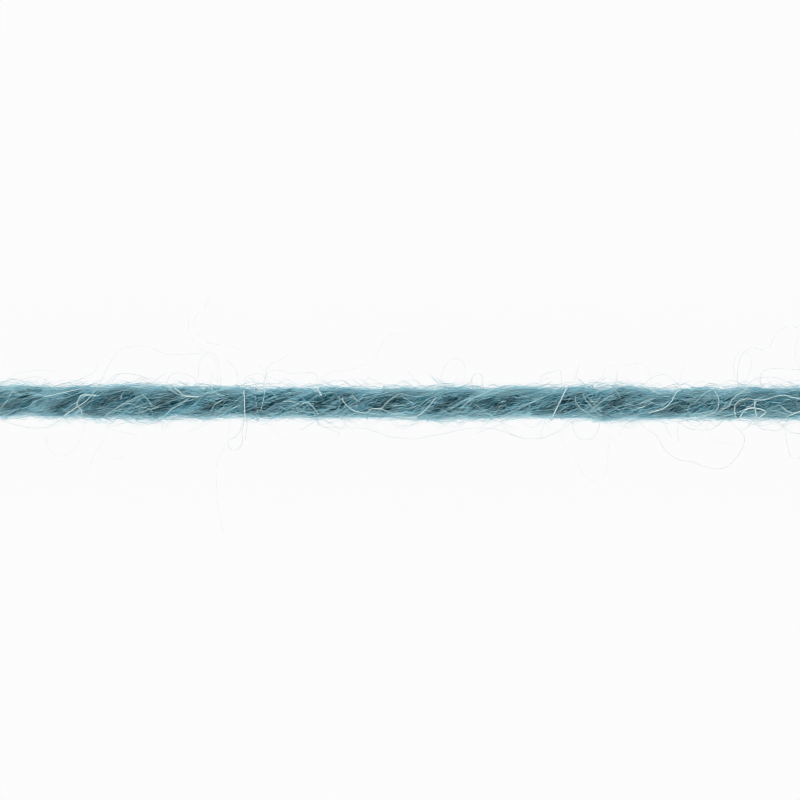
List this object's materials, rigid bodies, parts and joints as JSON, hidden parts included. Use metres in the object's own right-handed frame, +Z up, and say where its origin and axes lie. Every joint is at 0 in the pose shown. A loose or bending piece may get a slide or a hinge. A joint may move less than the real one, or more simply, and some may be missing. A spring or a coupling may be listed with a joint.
{
  "type": "knitting yarn",
  "caption": "Straight cut length of plied woollen knitting yarn with an S twist, a matted hairy surface and square-cut ends, lying on a surface.",
  "frame": {"origin": "on the surface, under the middle of the yarn", "axes": "+X along the yarn, +Z up from the surface, +Y across the yarn, upwards in the picture"},
  "size_m": [0.08, 0.0033, 0.0031],
  "materials": {
    "dyed_wool": "matte fuzzy wool, petrol blue, with a few undyed pale hairs"
  },
  "bodies": {
    "root": {"ply_1": "dyed_wool", "ply_2": "dyed_wool", "ply_3": "dyed_wool"}
  },
  "joints": []
}
